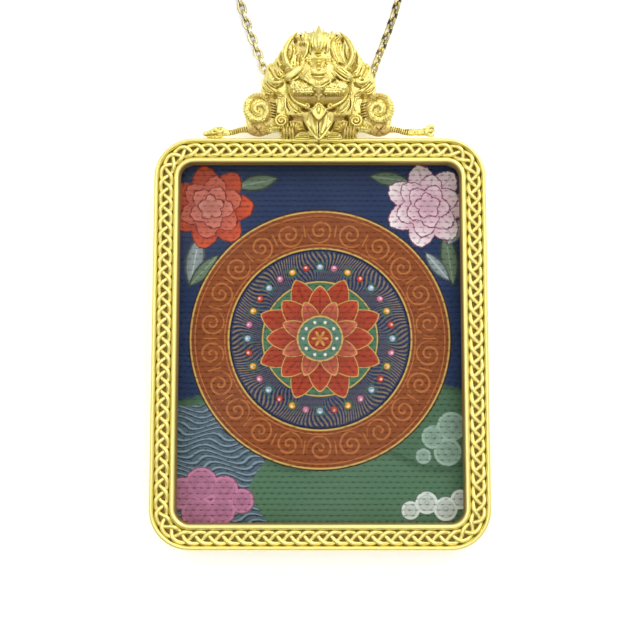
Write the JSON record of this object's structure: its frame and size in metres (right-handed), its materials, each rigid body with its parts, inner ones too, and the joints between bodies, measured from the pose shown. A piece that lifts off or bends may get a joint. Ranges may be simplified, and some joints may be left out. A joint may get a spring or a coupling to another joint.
{
  "type": "framed thangka pendant",
  "caption": "Framed thangka pendant: painted cloth under glass in a gold-tone frame with a plaited border and a horned bird mask crest with serpents, on a cable chain.",
  "frame": {"origin": "centre of the pendant's bounding box, chain left out, on the plane of its flat back", "axes": "+X to the right across the picture, +Y up the picture towards the crest, +Z out of the picture's face"},
  "size_m": [0.05, 0.1085, 0.0095],
  "materials": {
    "gold_tone": "matte gold plating",
    "chain_metal": "antique bronze tone, polished",
    "painted_cloth": "ribbed cloth with matte mineral paint",
    "glass": "clear, polished"
  },
  "bodies": {
    "root": {"frame": "gold_tone", "plait": "gold_tone", "glass": "glass", "thangka_cloth": "painted_cloth", "back_plate": "gold_tone", "mask": "gold_tone", "serpent_left": "gold_tone", "serpent_right": "gold_tone", "bail_tube": "gold_tone", "chain_run": "chain_metal", "chain_coil": "chain_metal"}
  },
  "joints": []
}
